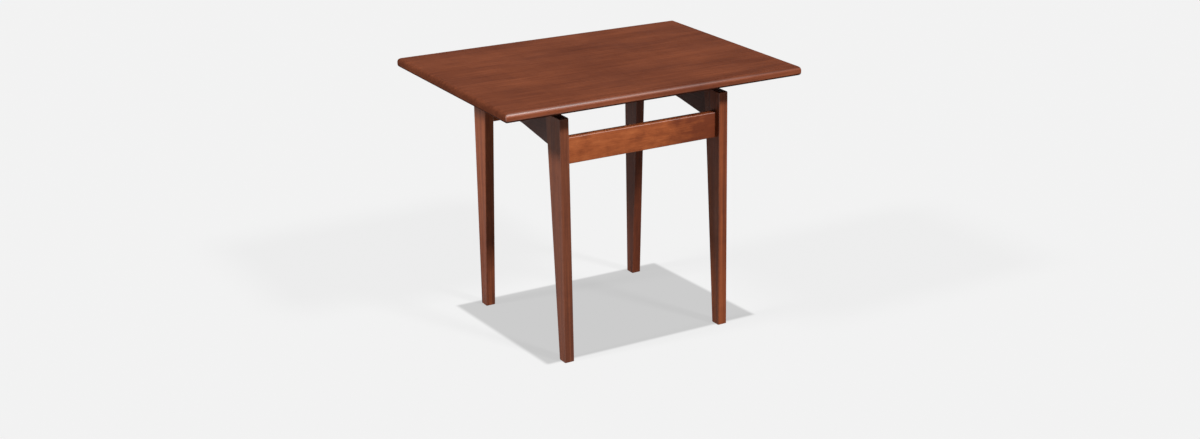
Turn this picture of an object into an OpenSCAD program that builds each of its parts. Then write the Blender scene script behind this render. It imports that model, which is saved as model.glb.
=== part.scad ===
// Side table with a floating top: a solid wood slab held clear of the frame on four
// spacers. Two tapered legs and a side rail make each end frame, and two cross rails
// join the end frames. All joints are glued mortise and tenon.
// Frame: X along the width and the grain of the top, Y along the depth with the front
// at -Y, Z up. The origin is on the floor under the middle of the top.

/* [Top] */
// Width of the top, along its grain
top_w = 704.85; // [600:0.05:900]
// Depth of the top, front to back
top_d = 527.05; // [450:0.05:700]
// Height of the table, floor to upper face
table_h = 584.2; // [450:0.1:700]
// Thickness of the top
top_t = 20; // [18:0.5:32]
// Radius of the round along the upper edges of the top
top_round_upper = 8; // [2:0.5:10]
// Radius of the round along the lower edges of the top
top_round_lower = 6; // [1:0.5:7]
// Radius of the four corners of the top, seen from above
top_corner_r = 3; // [1:0.5:12]
// Open height between the frame and the underside of the top
top_gap = 28.2; // [12:0.1:45]

/* [Legs] */
// Thickness of a leg and of a side rail, along X
leg_t = 22; // [20:0.5:32]
// Depth of a leg at its foot, along Y
leg_foot_d = 25.5; // [20:0.5:40]
// Depth of a leg at its head, along Y
leg_head_d = 59; // [50:0.5:75]
// Distance from the end of the top to the outer face of a leg
leg_inset_x = 149; // [40:0.5:180]
// Distance from the front of the top to the front face of a leg
leg_inset_y = 62; // [20:0.5:80]
// Radius of the rounds along the edges of a leg and of a side rail
leg_round = 2; // [0.5:0.25:4]
// Radius of the outer corner of a leg's head, seen from the side
leg_head_round = 3; // [1:0.5:8]
// Width of the bevel round the sole of a foot
foot_bevel = 1; // [0.5:0.25:2]

/* [Side rails] */
// Depth of a side rail where it meets a leg
side_rail_end_h = 66; // [56:0.5:74]
// Depth of a side rail in its middle
side_rail_mid_h = 44; // [34:0.5:52]
// Radius of the bend in the middle of the lower edge
side_rail_bend_r = 300; // [60:5:500]

/* [Cross rails] */
// Thickness of a cross rail, along Y
cross_rail_t = 18; // [16:0.5:24]
// Height of a cross rail
cross_rail_h = 57; // [48:0.5:60]
// Distance from the heads of the legs down to the upper edge of a cross rail
cross_rail_drop = 45; // [30:0.5:200]
// Distance from the front face of a leg back to the face of the cross rail
cross_rail_setback = 11; // [8:0.5:20]
// Radius of the rounds along the edges of a cross rail
cross_rail_round = 2.5; // [1:0.25:5]

/* [Tenons] */
// Thickness of every tenon
tenon_t = 8; // [6:0.5:10]
// Height of the tenon on a side rail
side_tenon_h = 38; // [25:0.5:42]
// Length of the tenon on a side rail, from its shoulder
side_tenon_l = 26; // [15:0.5:32]
// Height of the tenon on a cross rail
cross_tenon_h = 36; // [20:0.5:40]
// Length of the tenon on a cross rail, from its shoulder
cross_tenon_l = 15; // [10:0.5:16]
// Glue gap on each cheek and edge of a tenon
glue_gap = 0.15; // [0.05:0.05:0.3]
// Gap between the end of a tenon and the bottom of its mortise
mortise_end_gap = 1; // [0.5:0.1:2]

/* [Spacers and screws] */
// Diameter of a spacer under the top
spacer_d = 20; // [14:0.5:20]
// Width of the bevel on the rims of a spacer
spacer_bevel = 1; // [0.3:0.1:2]
// Distance from a leg to the centre line of the nearest spacer
spacer_setback = 27.5; // [16:0.5:60]
// Diameter of a screw's shank
screw_d = 5; // [4:0.25:6]
// Length of a screw under its head
screw_l = 70; // [60:1:74]
// Length of a screw in the wood of the top
screw_bite = 12; // [8:0.5:13]
// Length of a screw's point
screw_point_l = 6; // [3:0.5:7]
// Diameter of a screw's round head
screw_head_d = 9.5; // [8:0.25:10]
// Height of a screw's round head
screw_head_h = 3.6; // [3:0.1:4]
// Width of the slot in a screw's head
screw_slot_w = 1.2; // [0.8:0.1:1.6]
// Depth of the slot in a screw's head
screw_slot_depth = 1.8; // [1:0.1:2]
// Diameter of the deep hole that takes a screw's head
counterbore_d = 11; // [10.5:0.25:12]
// Clearance all round a screw's shank in the rail and the spacer
shank_clearance = 0.25; // [0.1:0.05:0.5]
// Clearance all round a screw in its pilot hole in the top
pilot_clearance = 0.05; // [0.02:0.01:0.1]
// Room past a screw's point in its pilot hole
pilot_end_gap = 2; // [1:0.5:3]

/* [Hidden] */

// Signs of the two ends and the two sides of the table
LEFT = -1;
RIGHT = 1;
FRONT = -1;
BACK = 1;

// Overlap of a cutting shape past the face that it cuts
cut = 1;
// Distance by which the rounds of an end frame stop short of its outline, to meet it cleanly
lap = 0.002;
// Facets of a full circle: bores and turned pieces, edges, and the long bend of a side rail
$fn = 64;
edge_fn = 32;
bend_fn = 240;

// The frame carries the spacers, and the spacers carry the top
frame_h = table_h - top_t - top_gap;
frame_x = top_w / 2 - leg_inset_x;
frame_y = top_d / 2 - leg_inset_y;
leg_mid_x = frame_x - leg_t / 2;

// A leg tapers on its inner face only: its depth at height z, and the lean of that face
function leg_depth(z) = leg_foot_d + (leg_head_d - leg_foot_d) * z / frame_h;
leg_lean = atan((leg_head_d - leg_foot_d) / frame_h);

// The lower edge of a side rail climbs in a straight line from each leg to the middle
side_rail_low_z = frame_h - side_rail_end_h;
side_rail_mid_z = frame_h - side_rail_mid_h;
side_rail_low_y = frame_y - leg_depth(side_rail_low_z);
side_rail_top_y = frame_y - leg_head_d;
side_rail_climb = atan((side_rail_mid_z - side_rail_low_z) / side_rail_low_y);
side_tenon_z = frame_h - side_rail_end_h / 2;
side_tenon_end_y = frame_y - leg_depth(side_tenon_z) + side_tenon_l;

cross_rail_z = frame_h - cross_rail_drop - cross_rail_h;
cross_rail_mid_y = frame_y - cross_rail_setback - cross_rail_t / 2;
cross_tenon_z = cross_rail_z + cross_rail_h / 2;
cross_rail_shoulder_x = frame_x - leg_t;

spacer_y = side_rail_top_y - spacer_setback;
screw_tip_z = frame_h + top_gap + screw_bite;
screw_seat_z = screw_tip_z - screw_l;

LEG_COLOR = [0.40, 0.22, 0.14];
RAIL_COLOR = [0.60, 0.33, 0.19];
TOP_COLOR = [0.49, 0.28, 0.19];
SPACER_COLOR = [0.30, 0.17, 0.11];
SCREW_COLOR = [0.72, 0.60, 0.36];

// Carries a piece drawn for the back right of the table to the named end and side
module place(end, side) {
    mirror([side == LEFT ? 1 : 0, 0, 0])
        mirror([0, end == FRONT ? 1 : 0, 0])
            children();
}

// Stands up what is drawn in depth and height, so that it is extruded along the width
module stand_up() {
    rotate([90, 0, 90])
        children();
}

// Waste outside a round of radius r, for a corner at the origin with its faces along +X and +Y
module round_waste(r, reach = cut) {
    difference() {
        translate([-cut, -reach]) square([r + cut, r + reach]);
        translate([r, r]) circle(r, $fn = edge_fn);
    }
}

// Waste outside a bevel of width w, for the same corner
module bevel_waste(w) {
    polygon([[-cut, -cut], [w + cut, -cut], [-cut, w + cut]]);
}

// Takes the sharp corner off all four sides of a w by h rectangle that starts at the origin
module soft_rectangle(w, h, r_low, r_high) {
    difference() {
        square([w, h]);
        for (flip = [0, 1]) {
            translate([flip * w, 0]) mirror([flip, 0]) round_waste(r_low);
            translate([flip * w, h]) mirror([flip, 0]) mirror([0, 1]) round_waste(r_high);
        }
    }
}

// Repeats a cut into the inner face of the right end frame, which it meets at X = 0, on both faces
module both_faces() {
    for (face = [0, 1])
        translate([leg_mid_x, 0, 0])
            mirror([face, 0, 0])
                translate([-leg_t / 2, 0, 0])
                    children();
}

// Waste of the round along a straight edge, given in depth and height with the wood on its right
module edge_waste(from, to, reach = cut) {
    run = to - from;
    translate([0, from.x, from.y])
        rotate([atan2(run.y, run.x) - 90, 0, 0])
            linear_extrude(norm(run))
                translate([0, -lap]) round_waste(leg_round, reach);
}

// Waste of the round along the upper edge of an end frame, straight over legs and rail
module upper_edge_waste() {
    edge_waste([-frame_y - cut, frame_h], [frame_y + cut, frame_h]);
}

// Waste of the round along the outer edge of a leg and round the corner of its head
module outer_edge_waste() {
    edge_waste([frame_y, frame_h + cut], [frame_y, -cut]);
    stand_up()
        translate([frame_y - leg_head_round, frame_h - leg_head_round, 0])
            rotate_extrude(angle = 90)
                intersection() {
                    translate([leg_head_round + lap, 0]) mirror([1, 0]) round_waste(leg_round);
                    translate([0, -cut]) square(leg_head_round + leg_round + 2 * cut);
                }
}

// Waste of the round up the inner edge of a leg, which turns in a mitre below the side rail
module inner_edge_waste() {
    up = [-sin(leg_lean), cos(leg_lean)];
    intersection() {
        edge_waste([frame_y - leg_foot_d, 0] - cut * up,
                   [side_rail_low_y, side_rail_low_z] + frame_y * up, frame_h);
        climb_waste(frame_y, frame_h);
    }
}

// Waste of the round along a straight climb of a side rail, run on past the leg's leaning face
module climb_waste(past, reach) {
    climb = [-cos(side_rail_climb), sin(side_rail_climb)];
    edge_waste([side_rail_low_y, side_rail_low_z] - past * climb,
               [side_rail_bend_y(), side_rail_bend_z()], reach);
}

// Waste of the round along the bend of a side rail, run on a little below the straight climbs
module bend_waste() {
    facet = 360 / bend_fn;
    half_sweep = facet * ceil((side_rail_climb + 1) / facet);
    stand_up()
        translate([0, side_rail_mid_z - side_rail_bend_r / cos(side_rail_climb), 0])
            rotate([0, 0, 90 - half_sweep])
                rotate_extrude(angle = 2 * half_sweep, $fn = bend_fn)
                    translate([side_rail_bend_r - lap, 0]) round_waste(leg_round);
}

// Waste of the bevels round the sole of a foot
module sole_waste() {
    translate([leg_mid_x, frame_y - leg_foot_d / 2, 0])
        for (flip = [0, 1]) {
            mirror([flip, 0, 0])
                translate([-leg_t / 2, 0, 0])
                    rotate([90, 0, 0])
                        linear_extrude(leg_foot_d + 2 * cut, center = true) bevel_waste(foot_bevel);
            mirror([0, flip, 0])
                translate([0, -leg_foot_d / 2, 0])
                    stand_up() linear_extrude(leg_t + 2 * cut, center = true) bevel_waste(foot_bevel);
        }
}

// Section of the top across the given width, with its rounded edges, lying on the X axis
module top_section(width) {
    translate([-width / 2, 0])
        soft_rectangle(width, top_t, top_round_lower, top_round_upper);
}

// Cavity for a tenon of the given size, centred on the origin in thickness and height
module mortise(thickness, height) {
    square([thickness + 2 * glue_gap, height + 2 * glue_gap], center = true);
}

// Slab with two rounded long edges and two rounded ends that meet in mitred corners
module tabletop() {
    color(TOP_COLOR)
        difference() {
            translate([0, 0, table_h - top_t])
                intersection() {
                    rotate([90, 0, 0])
                        linear_extrude(top_d + 2 * cut, center = true) top_section(top_w);
                    stand_up()
                        linear_extrude(top_w + 2 * cut, center = true) top_section(top_d);
                    translate([-top_w / 2, -top_d / 2, -cut])
                        linear_extrude(top_t + 2 * cut)
                            soft_rectangle(top_w, top_d, top_corner_r, top_corner_r);
                }
            for (end = [FRONT, BACK], side = [LEFT, RIGHT])
                place(end, side) pilot_hole();
        }
}

// Hole in the underside of the top for the threaded end of a screw
module pilot_hole() {
    translate([leg_mid_x, spacer_y, table_h - top_t - cut])
        cylinder(d = screw_d + 2 * pilot_clearance, h = cut + screw_bite + pilot_end_gap);
}

// Outline of a leg in depth and height: upright outer face, leaning inner face, soft head corner
module leg_outline() {
    difference() {
        polygon([
            [frame_y, 0],
            [frame_y, frame_h],
            [frame_y - leg_head_d, frame_h],
            [frame_y - leg_foot_d, 0]
        ]);
        translate([frame_y, frame_h]) rotate(180) round_waste(leg_head_round);
    }
}

// Tapered leg with softened edges and the mortises for its side rail and its cross rail
module leg(end, side) {
    color(LEG_COLOR)
        place(end, side)
            difference() {
                translate([frame_x - leg_t, 0, 0])
                    stand_up() linear_extrude(leg_t) leg_outline();
                both_faces() {
                    upper_edge_waste();
                    outer_edge_waste();
                    inner_edge_waste();
                }
                sole_waste();
                side_mortise();
                cross_mortise();
            }
}

// Mortise in the leaning inner face of a leg
module side_mortise() {
    translate([leg_mid_x, side_tenon_end_y + mortise_end_gap, side_tenon_z])
        rotate([90, 0, 0])
            linear_extrude(side_tenon_l + mortise_end_gap + leg_head_d)
                mortise(tenon_t, side_tenon_h);
}

// Mortise in the face of a leg that looks at the other end frame
module cross_mortise() {
    translate([cross_rail_shoulder_x - cut, cross_rail_mid_y, cross_tenon_z])
        stand_up()
            linear_extrude(cut + cross_tenon_l + mortise_end_gap)
                mortise(tenon_t, cross_tenon_h);
}

// Space under a side rail: two straight climbs that a round bend joins in the middle
module side_rail_arch() {
    polygon([
        [-side_rail_low_y, side_rail_low_z],
        [-side_rail_bend_y(), side_rail_bend_z()],
        [side_rail_bend_y(), side_rail_bend_z()],
        [side_rail_low_y, side_rail_low_z]
    ]);
    intersection() {
        translate([0, side_rail_mid_z - side_rail_bend_r / cos(side_rail_climb)])
            circle(side_rail_bend_r, $fn = bend_fn);
        translate([-side_rail_low_y, side_rail_bend_z() - cut])
            square([2 * side_rail_low_y, side_rail_mid_h]);
    }
}

// Where the straight climbs turn into the bend
function side_rail_bend_y() = side_rail_bend_r * sin(side_rail_climb);
function side_rail_bend_z() = side_rail_mid_z - side_rail_bend_y() * tan(side_rail_climb);

// Outline of a side rail in depth and height, with shoulders that follow the leaning legs
module side_rail_outline() {
    difference() {
        polygon([
            [-side_rail_low_y, side_rail_low_z],
            [side_rail_low_y, side_rail_low_z],
            [side_rail_top_y, frame_h],
            [-side_rail_top_y, frame_h]
        ]);
        side_rail_arch();
    }
}

// Side rail, level on top and hollowed below, with softened edges and a tenon at each end
module side_rail(side) {
    color(LEG_COLOR)
        place(BACK, side)
            difference() {
                union() {
                    translate([frame_x - leg_t, 0, 0])
                        stand_up() linear_extrude(leg_t) side_rail_outline();
                    for (end = [FRONT, BACK])
                        place(end, RIGHT) side_tenon();
                }
                both_faces() {
                    upper_edge_waste();
                    bend_waste();
                }
                for (end = [FRONT, BACK])
                    place(end, RIGHT) {
                        both_faces() climb_waste(leg_t, cut);
                        screw_passage();
                    }
            }
}

// Tenon on one end of a side rail, rooted a little behind the leaning shoulder
module side_tenon() {
    root_y = side_rail_top_y - cut;
    translate([leg_mid_x - tenon_t / 2, root_y, side_tenon_z - side_tenon_h / 2])
        cube([tenon_t, side_tenon_end_y - root_y, side_tenon_h]);
}

// Deep hole for a screw's head from below, and the shank's hole on through the rail
module screw_passage() {
    translate([leg_mid_x, spacer_y, 0]) {
        translate([0, 0, side_rail_low_z - cut])
            cylinder(d = counterbore_d, h = screw_seat_z - side_rail_low_z + cut);
        shank_hole(screw_seat_z - cut, frame_h + cut);
    }
}

// Clearance hole for a screw's shank between two heights
module shank_hole(z_low, z_high) {
    translate([0, 0, z_low])
        cylinder(d = screw_d + 2 * shank_clearance, h = z_high - z_low);
}

// Straight rail between the two end frames, with softened edges and a tenon at each end
module cross_rail(end) {
    color(RAIL_COLOR)
        place(end, RIGHT) {
            translate([-cross_rail_shoulder_x, cross_rail_mid_y - cross_rail_t / 2, cross_rail_z])
                stand_up()
                    linear_extrude(2 * cross_rail_shoulder_x)
                        soft_rectangle(cross_rail_t, cross_rail_h,
                                       cross_rail_round, cross_rail_round);
            translate([0, cross_rail_mid_y, cross_tenon_z])
                cube([2 * (cross_rail_shoulder_x + cross_tenon_l), tenon_t, cross_tenon_h],
                     center = true);
        }
}

// Turned spacer with bevelled rims, standing on the side rail under the top
module spacer(end, side) {
    color(SPACER_COLOR)
        place(end, side)
            translate([leg_mid_x, spacer_y, 0])
                difference() {
                    translate([0, 0, frame_h])
                        rotate_extrude()
                            polygon([
                                [0, 0],
                                [spacer_d / 2 - spacer_bevel, 0],
                                [spacer_d / 2, spacer_bevel],
                                [spacer_d / 2, top_gap - spacer_bevel],
                                [spacer_d / 2 - spacer_bevel, top_gap],
                                [0, top_gap]
                            ]);
                    shank_hole(frame_h - cut, frame_h + top_gap + cut);
                }
}

// Round-headed slotted wood screw, driven upwards through rail and spacer into the top
module screw(end, side) {
    color(SCREW_COLOR)
        place(end, side)
            translate([leg_mid_x, spacer_y, screw_seat_z]) {
                cylinder(d = screw_d, h = screw_l - screw_point_l);
                translate([0, 0, screw_l - screw_point_l])
                    cylinder(d1 = screw_d, d2 = 0, h = screw_point_l);
                mirror([0, 0, 1]) screw_head();
            }
}

// Domed head of a screw with its slot, drawn upwards from the seat
module screw_head() {
    dome_r = (pow(screw_head_d / 2, 2) + pow(screw_head_h, 2)) / (2 * screw_head_h);
    difference() {
        intersection() {
            translate([0, 0, screw_head_h - dome_r]) sphere(dome_r);
            cylinder(d = screw_head_d, h = screw_head_h);
        }
        translate([0, 0, screw_head_h])
            cube([screw_head_d + cut, screw_slot_w, 2 * screw_slot_depth], center = true);
    }
}

tabletop();
leg(FRONT, LEFT);  // leg_front_left
leg(FRONT, RIGHT);  // leg_front_right
leg(BACK, LEFT);  // leg_back_left
leg(BACK, RIGHT);  // leg_back_right
side_rail(LEFT);  // side_rail_left
side_rail(RIGHT);  // side_rail_right
cross_rail(FRONT);  // front_rail
cross_rail(BACK);  // back_rail
spacer(FRONT, LEFT);  // spacer_front_left
spacer(FRONT, RIGHT);  // spacer_front_right
spacer(BACK, LEFT);  // spacer_back_left
spacer(BACK, RIGHT);  // spacer_back_right
screw(FRONT, LEFT);  // screw_front_left
screw(FRONT, RIGHT);  // screw_front_right
screw(BACK, LEFT);  // screw_back_left
screw(BACK, RIGHT);  // screw_back_right
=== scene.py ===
"""Side table with a floating top, modelled and finished for close viewing.

A softly rounded slab stands on four turned spacers. Under it are two end frames, each of two tapered
legs and an arched side rail, and two cross rails that join them. All joints are mortise and tenon, and
a brass wood screw runs up through each spacer into the top.

Lengths are in metres. X runs along the width, Y from front (-) to back (+), and Z up from the floor.
"""

import logging
import math
from dataclasses import dataclass, field
from enum import Enum
from functools import partialmethod
from typing import Any, Callable, Mapping, Sequence, Union

import bmesh
import bpy
from mathutils import Matrix, Vector

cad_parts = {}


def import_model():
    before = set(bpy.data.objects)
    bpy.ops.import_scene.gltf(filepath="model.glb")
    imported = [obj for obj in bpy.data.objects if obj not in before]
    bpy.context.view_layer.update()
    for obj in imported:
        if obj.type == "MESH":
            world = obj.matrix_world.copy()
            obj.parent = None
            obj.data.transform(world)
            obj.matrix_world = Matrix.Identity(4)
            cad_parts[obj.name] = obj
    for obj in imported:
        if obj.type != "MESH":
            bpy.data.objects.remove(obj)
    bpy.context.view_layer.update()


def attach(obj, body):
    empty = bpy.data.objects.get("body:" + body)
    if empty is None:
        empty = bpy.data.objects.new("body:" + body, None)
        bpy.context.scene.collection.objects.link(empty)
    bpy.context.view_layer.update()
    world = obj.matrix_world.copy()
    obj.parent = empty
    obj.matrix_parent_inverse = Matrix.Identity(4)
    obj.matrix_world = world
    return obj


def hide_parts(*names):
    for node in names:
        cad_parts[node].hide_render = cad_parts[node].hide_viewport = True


# Shapes lap a little before they are joined, a cut starts an overrun outside, and a hair is nothing.
MM = 0.001
HAIR = 1e-6
LAP = 1.0 * MM
OVERRUN = 5.0 * MM
PARALLEL = 0.999
ROUND_FACETS = 6
BORE_FACETS = 32
EASED = "eased"
NARROWEST_FLAT = 1.35 * MM

Span = tuple[float, float]
Triple = Sequence[float]
Colour = tuple[float, float, float, float]
Piece = bpy.types.Object

log = logging.getLogger("side_table")


class End(Enum):
    """The two long sides of the table."""

    FRONT = -1
    BACK = 1


class Side(Enum):
    """The two ends of the table."""

    LEFT = -1
    RIGHT = 1


class Part(Enum):
    """What a test picks in edit mode."""

    CORNER = "VERT"
    EDGE = "EDGE"
    FACE = "FACE"


class Joinery(Enum):
    """How a second shape is worked into a piece."""

    CUT = "DIFFERENCE"
    ADD = "UNION"


class Grain(Enum):
    """The axis that the fibres run along, and the turn that lays them along the pattern's X axis."""

    WIDTH = (0, (0.0, 0.0, 0.0))
    DEPTH = (1, (0.0, 0.0, -math.pi / 2))
    HEIGHT = (2, (0.0, math.pi / 2, 0.0))


def corners(kind: str) -> dict[str, tuple[int, int, int]]:
    """Names the four pieces of a kind, with the mirroring that brings the back right one to each place."""
    return {f"{kind}_{end.name.lower()}_{side.name.lower()}": (side.value, end.value, 1)
            for end in End for side in Side}


def srgb(code: int) -> Colour:
    """Turns a colour code as screens use it, 0xrrggbb, into the linear colour that a shader takes."""

    def linear(value: int) -> float:
        """Turns one channel, from 0 to 255, into its linear value."""
        share = value / 255
        return share / 12.92 if share <= 0.04045 else ((share + 0.055) / 1.055) ** 2.4

    red, green, blue = code.to_bytes(3, "big")
    return (linear(red), linear(green), linear(blue), 1.0)


def grey(value: float) -> Colour:
    """Gives a linear grey."""
    return (value, value, value, 1.0)


def clear() -> None:
    """Leaves edit mode and deselects everything."""
    if bpy.context.mode != "OBJECT":
        bpy.ops.object.mode_set(mode="OBJECT")
    bpy.ops.object.select_all(action="DESELECT")


def take(piece: Piece) -> None:
    """Makes one piece the only selected and active one."""
    clear()
    piece.select_set(True)
    bpy.context.view_layer.objects.active = piece


def settle(name: str) -> Piece:
    """Names the new piece and moves its place into its mesh."""
    piece = bpy.context.object
    piece.name = piece.data.name = name
    bpy.ops.object.transform_apply()
    return piece


def block(name: str, low: Triple, high: Triple) -> Piece:
    """Saws a block to size.

    Args:
        name: Name of the piece.
        low: Its lowest corner.
        high: Its highest corner.

    Returns:
        The block.
    """
    clear()
    low, high = Vector(low), Vector(high)
    bpy.ops.mesh.primitive_cube_add(size=1.0, location=(low + high) / 2, scale=high - low)
    return settle(name)


def dowel(name: str, foot: Triple, radius: float, height: float, tip: float = -1.0,
          facets: int = BORE_FACETS) -> Piece:
    """Turns an upright dowel, or a tapered one.

    Args:
        name: Name of the piece.
        foot: Centre of its lower end.
        radius: Radius of its lower end.
        height: Its length.
        tip: Radius of its upper end, the same as the lower end's if it is negative.
        facets: Number of facets round it.

    Returns:
        The dowel.
    """
    clear()
    bpy.ops.mesh.primitive_cone_add(
        vertices=facets, radius1=radius, radius2=radius if tip < 0 else tip, depth=height,
        location=Vector(foot) + Vector((0, 0, height / 2)))
    return settle(name)


def drill(piece: Piece, foot: Triple, radius: float, height: float,
          facets: int = BORE_FACETS) -> None:
    """Bores an upright hole, given as the dowel that would fill it."""
    work(piece, dowel("bit", foot, radius, height, facets=facets), Joinery.CUT)


def copy(piece: Piece, name: str) -> Piece:
    """Copies a piece with a mesh of its own."""
    take(piece)
    bpy.ops.object.duplicate(linked=False)
    twin = bpy.context.object
    twin.name = twin.data.name = name
    return twin


def mirrored(piece: Piece, name: str, flip: Triple) -> Piece:
    """Makes the opposite hand of a piece about the middle of the table.

    Args:
        piece: The piece as modelled.
        name: Name of the copy.
        flip: -1 for each axis that is mirrored, and 1 for the others.

    Returns:
        The copy, with its faces pointing outwards.
    """
    twin = copy(piece, name)
    twin.scale = flip
    bpy.ops.object.transform_apply()
    with Shaping(twin) as shape:
        shape.face_outwards()
    return twin


def change(piece: Piece, kind: str, **settings: Any) -> None:
    """Gives a piece one modifier with the settings named, and applies it."""
    take(piece)
    modifier = piece.modifiers.new(kind.lower(), kind)
    for name, value in settings.items():
        setattr(modifier, name, value)
    bpy.ops.object.modifier_apply(modifier=modifier.name)


def work(piece: Piece, tool: Piece, how: Joinery) -> None:
    """Cuts a second shape out of a piece, or joins it on, and uses that shape up.

    Args:
        piece: What is worked on.
        tool: The second shape.
        how: Whether it is cut out or joined on.
    """
    change(piece, "BOOLEAN", operation=how.value, object=tool, solver="EXACT")
    mesh = tool.data
    bpy.data.objects.remove(tool)
    bpy.data.meshes.remove(mesh)


def smooth(piece: Piece, crisp_deg: float = 38.0, ends_along: int = -1) -> None:
    """Shades the rounds smooth, keeps the flats flat and notes which corners lie on an eased edge.

    Args:
        piece: The finished shape.
        crisp_deg: Edges that turn further than this stay crisp.
        ends_along: The axis whose end faces don't keep a round from counting as eased, or -1.
    """
    take(piece)
    bpy.ops.object.shade_smooth_by_angle(angle=math.radians(crisp_deg))
    change(piece, "WEIGHTED_NORMAL", keep_sharp=True, weight=100)
    note_eased_edges(piece, ends_along)


def note_eased_edges(piece: Piece, ends_along: int) -> None:
    """Stores 1 at each corner that only narrow faces meet, and 0 elsewhere.

    Args:
        piece: The finished shape.
        ends_along: The axis whose end faces count as narrow too, or -1.
    """
    mesh = bmesh.new()
    mesh.from_mesh(piece.data)

    def narrow(face: bmesh.types.BMFace) -> bool:
        """Says whether a face is too narrow to be a flat one."""
        return face.calc_area() / max(edge.calc_length() for edge in face.edges) < NARROWEST_FLAT

    def is_end(face: bmesh.types.BMFace) -> bool:
        """Says whether it is an end face that counts as narrow."""
        return ends_along >= 0 and abs(face.normal[ends_along]) > PARALLEL

    slim = {face.index for face in mesh.faces if narrow(face) or is_end(face)}
    values = [float(all(face.index in slim for face in corner.link_faces)) for corner in mesh.verts]
    mesh.free()
    layer = piece.data.attributes.new(EASED, "FLOAT", "POINT")
    layer.data.foreach_set("value", values)


class Shaping:
    """A piece in edit mode. Parts are picked by their place, and an operator then works on them."""

    def __init__(self, piece: Piece) -> None:
        """Keeps the piece that is going to be shaped."""
        self.piece = piece

    def __enter__(self) -> "Shaping":
        """Opens the piece with nothing picked."""
        take(self.piece)
        bpy.ops.object.mode_set(mode="EDIT")
        bpy.ops.mesh.select_all(action="DESELECT")
        return self

    def __exit__(self, *_: Any) -> None:
        """Closes the piece."""
        bpy.ops.object.mode_set(mode="OBJECT")

    def pick(self, kind: Part, test: Callable[[Any], bool]) -> "Shaping":
        """Selects only the parts that pass a test.

        Args:
            kind: Corners, edges or faces.
            test: Says whether one of them is wanted.

        Returns:
            The same shaping, so that an operator can follow.

        Raises:
            ValueError: If nothing passes.
        """
        bpy.ops.mesh.select_mode(type=kind.value)
        bpy.ops.mesh.select_all(action="DESELECT")
        mesh = bmesh.from_edit_mesh(self.piece.data)
        mesh.normal_update()
        parts = {Part.CORNER: mesh.verts, Part.EDGE: mesh.edges, Part.FACE: mesh.faces}[kind]
        found = [part for part in parts if test(part)]
        if not found:
            raise ValueError(f"{self.piece.name}: no {kind.name.lower()} passes the test")
        for part in found:
            part.select_set(True)
        bmesh.update_edit_mesh(self.piece.data)
        return self

    def pick_all(self) -> "Shaping":
        """Selects the whole piece."""
        bpy.ops.mesh.select_all(action="SELECT")
        return self

    def move(self, step: Triple) -> None:
        """Moves what is picked."""
        bpy.ops.transform.translate(value=step)

    def pull(self, step: Triple) -> None:
        """Extrudes what is picked."""
        bpy.ops.mesh.extrude_region_move(TRANSFORM_OT_translate={"value": step})

    def ease(self, radius: float, facets: int = ROUND_FACETS) -> None:
        """Rounds the picked edges."""
        bpy.ops.mesh.bevel(offset_type="OFFSET", offset=radius, segments=facets, affect="EDGES",
                           clamp_overlap=False)

    def saw(self, point: Triple, normal: Triple, drop: bool = False) -> None:
        """Cuts the whole piece along a plane.

        Args:
            point: A point on the plane.
            normal: Direction across the plane.
            drop: Whether the side that the normal points to falls away.
        """
        self.pick_all()
        bpy.ops.mesh.bisect(plane_co=point, plane_no=normal, clear_outer=drop, threshold=HAIR)

    def merge_flats(self) -> None:
        """Takes out the edges that lie in a flat face."""
        self.pick_all()
        bpy.ops.mesh.dissolve_limited(angle_limit=math.radians(0.2))

    def close(self, test: Callable[[Any], bool]) -> None:
        """Closes the opening whose rim passes a test with one flat face."""
        self.pick(Part.EDGE, lambda edge: len(edge.link_faces) == 1 and test(edge))
        bpy.ops.mesh.edge_face_add()

    def face_outwards(self) -> None:
        """Turns every face outwards."""
        self.pick_all()
        bpy.ops.mesh.normals_make_consistent(inside=False)


def middle(part: Any) -> Vector:
    """Gives the middle of an edge or a face."""
    return sum((corner.co for corner in part.verts), Vector()) / len(part.verts)


def along(edge: bmesh.types.BMEdge, axis: int) -> bool:
    """Says whether an edge runs along X, Y or Z, which are 0, 1 and 2."""
    step = edge.verts[1].co - edge.verts[0].co
    return abs(step[axis]) > PARALLEL * step.length


def rims(edge: bmesh.types.BMEdge, axis: int) -> bool:
    """Says whether an edge is on the rim of a face that looks along X, Y or Z."""
    return sum(abs(face.normal[axis]) > PARALLEL for face in edge.link_faces) == 1


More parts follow.
